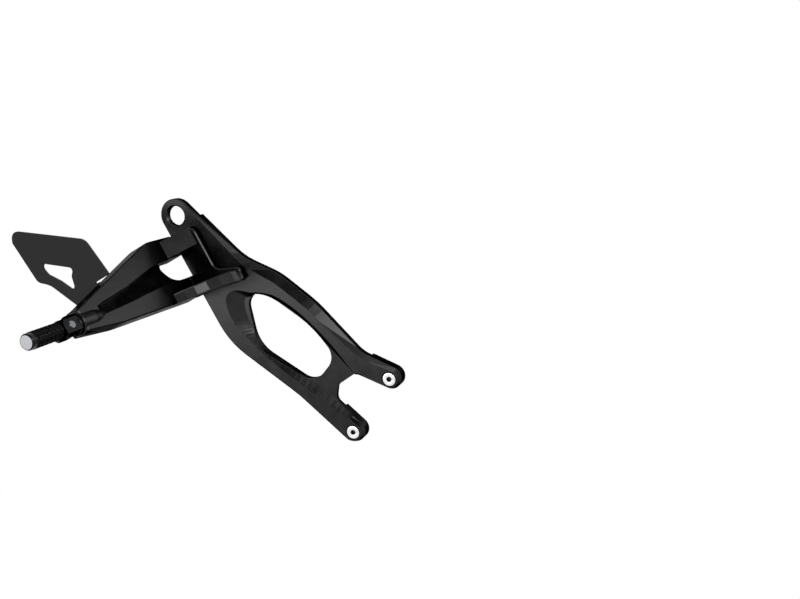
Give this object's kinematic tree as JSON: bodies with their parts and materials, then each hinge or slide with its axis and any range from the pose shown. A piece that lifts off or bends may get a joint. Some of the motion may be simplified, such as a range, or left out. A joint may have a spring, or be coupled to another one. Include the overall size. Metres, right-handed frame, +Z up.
{
  "type": "motorcycle passenger foot peg",
  "caption": "Black machined side plate with a fork for frame screws, a window and an exhaust hanger eye, carrying an outrigger arm with heel guard and folding ribbed peg.",
  "frame": {"origin": "axis of the upper frame screw, on the back face of the plate's fork end, where it meets the motorcycle's frame", "axes": "+X to the front of the motorcycle, +Y inward to its frame along the frame screws, +Z up; the peg points to -Y"},
  "size_m": [0.4239, 0.318, 0.2867],
  "materials": {
    "plate_anodised": "machined, bead-blasted and black anodised",
    "arm_anodised": "machined and black anodised",
    "guard_sheet": "matt black powder coat on bent sheet",
    "screw_bright": "bright turned",
    "screw_plain": "zinc plated",
    "hinge_black": "machined and black anodised",
    "pin_steel": "ground steel",
    "spring_steel": "drawn spring steel",
    "washer_bronze": "turned bearing bronze",
    "peg_black": "turned, grooved and black anodised",
    "cap_bright": "turned, bright anodised"
  },
  "bodies": {
    "bracket": {"side_plate": "plate_anodised", "frame_screws": "screw_bright", "peg_arm": "arm_anodised", "arm_screws": "screw_plain", "heel_guard": "guard_sheet", "guard_screws": "screw_plain", "guard_washers": "screw_plain", "hinge_block": "hinge_black", "hinge_set_screw": "spring_steel", "detent_ball": "screw_bright", "detent_spring": "spring_steel", "thrust_washers": "washer_bronze", "pivot_pin": "pin_steel", "pin_circlip": "spring_steel"},
    "peg": {"peg_body": "peg_black", "peg_end_cap": "cap_bright"}
  },
  "joints": [
    {"name": "peg_fold", "type": "hinge", "parent": "bracket", "child": "peg", "pos_m": [-0.2659, -0.246, 0.0953], "axis": [-0.866, 0, -0.5], "range_deg": [0, 90]}
  ]
}
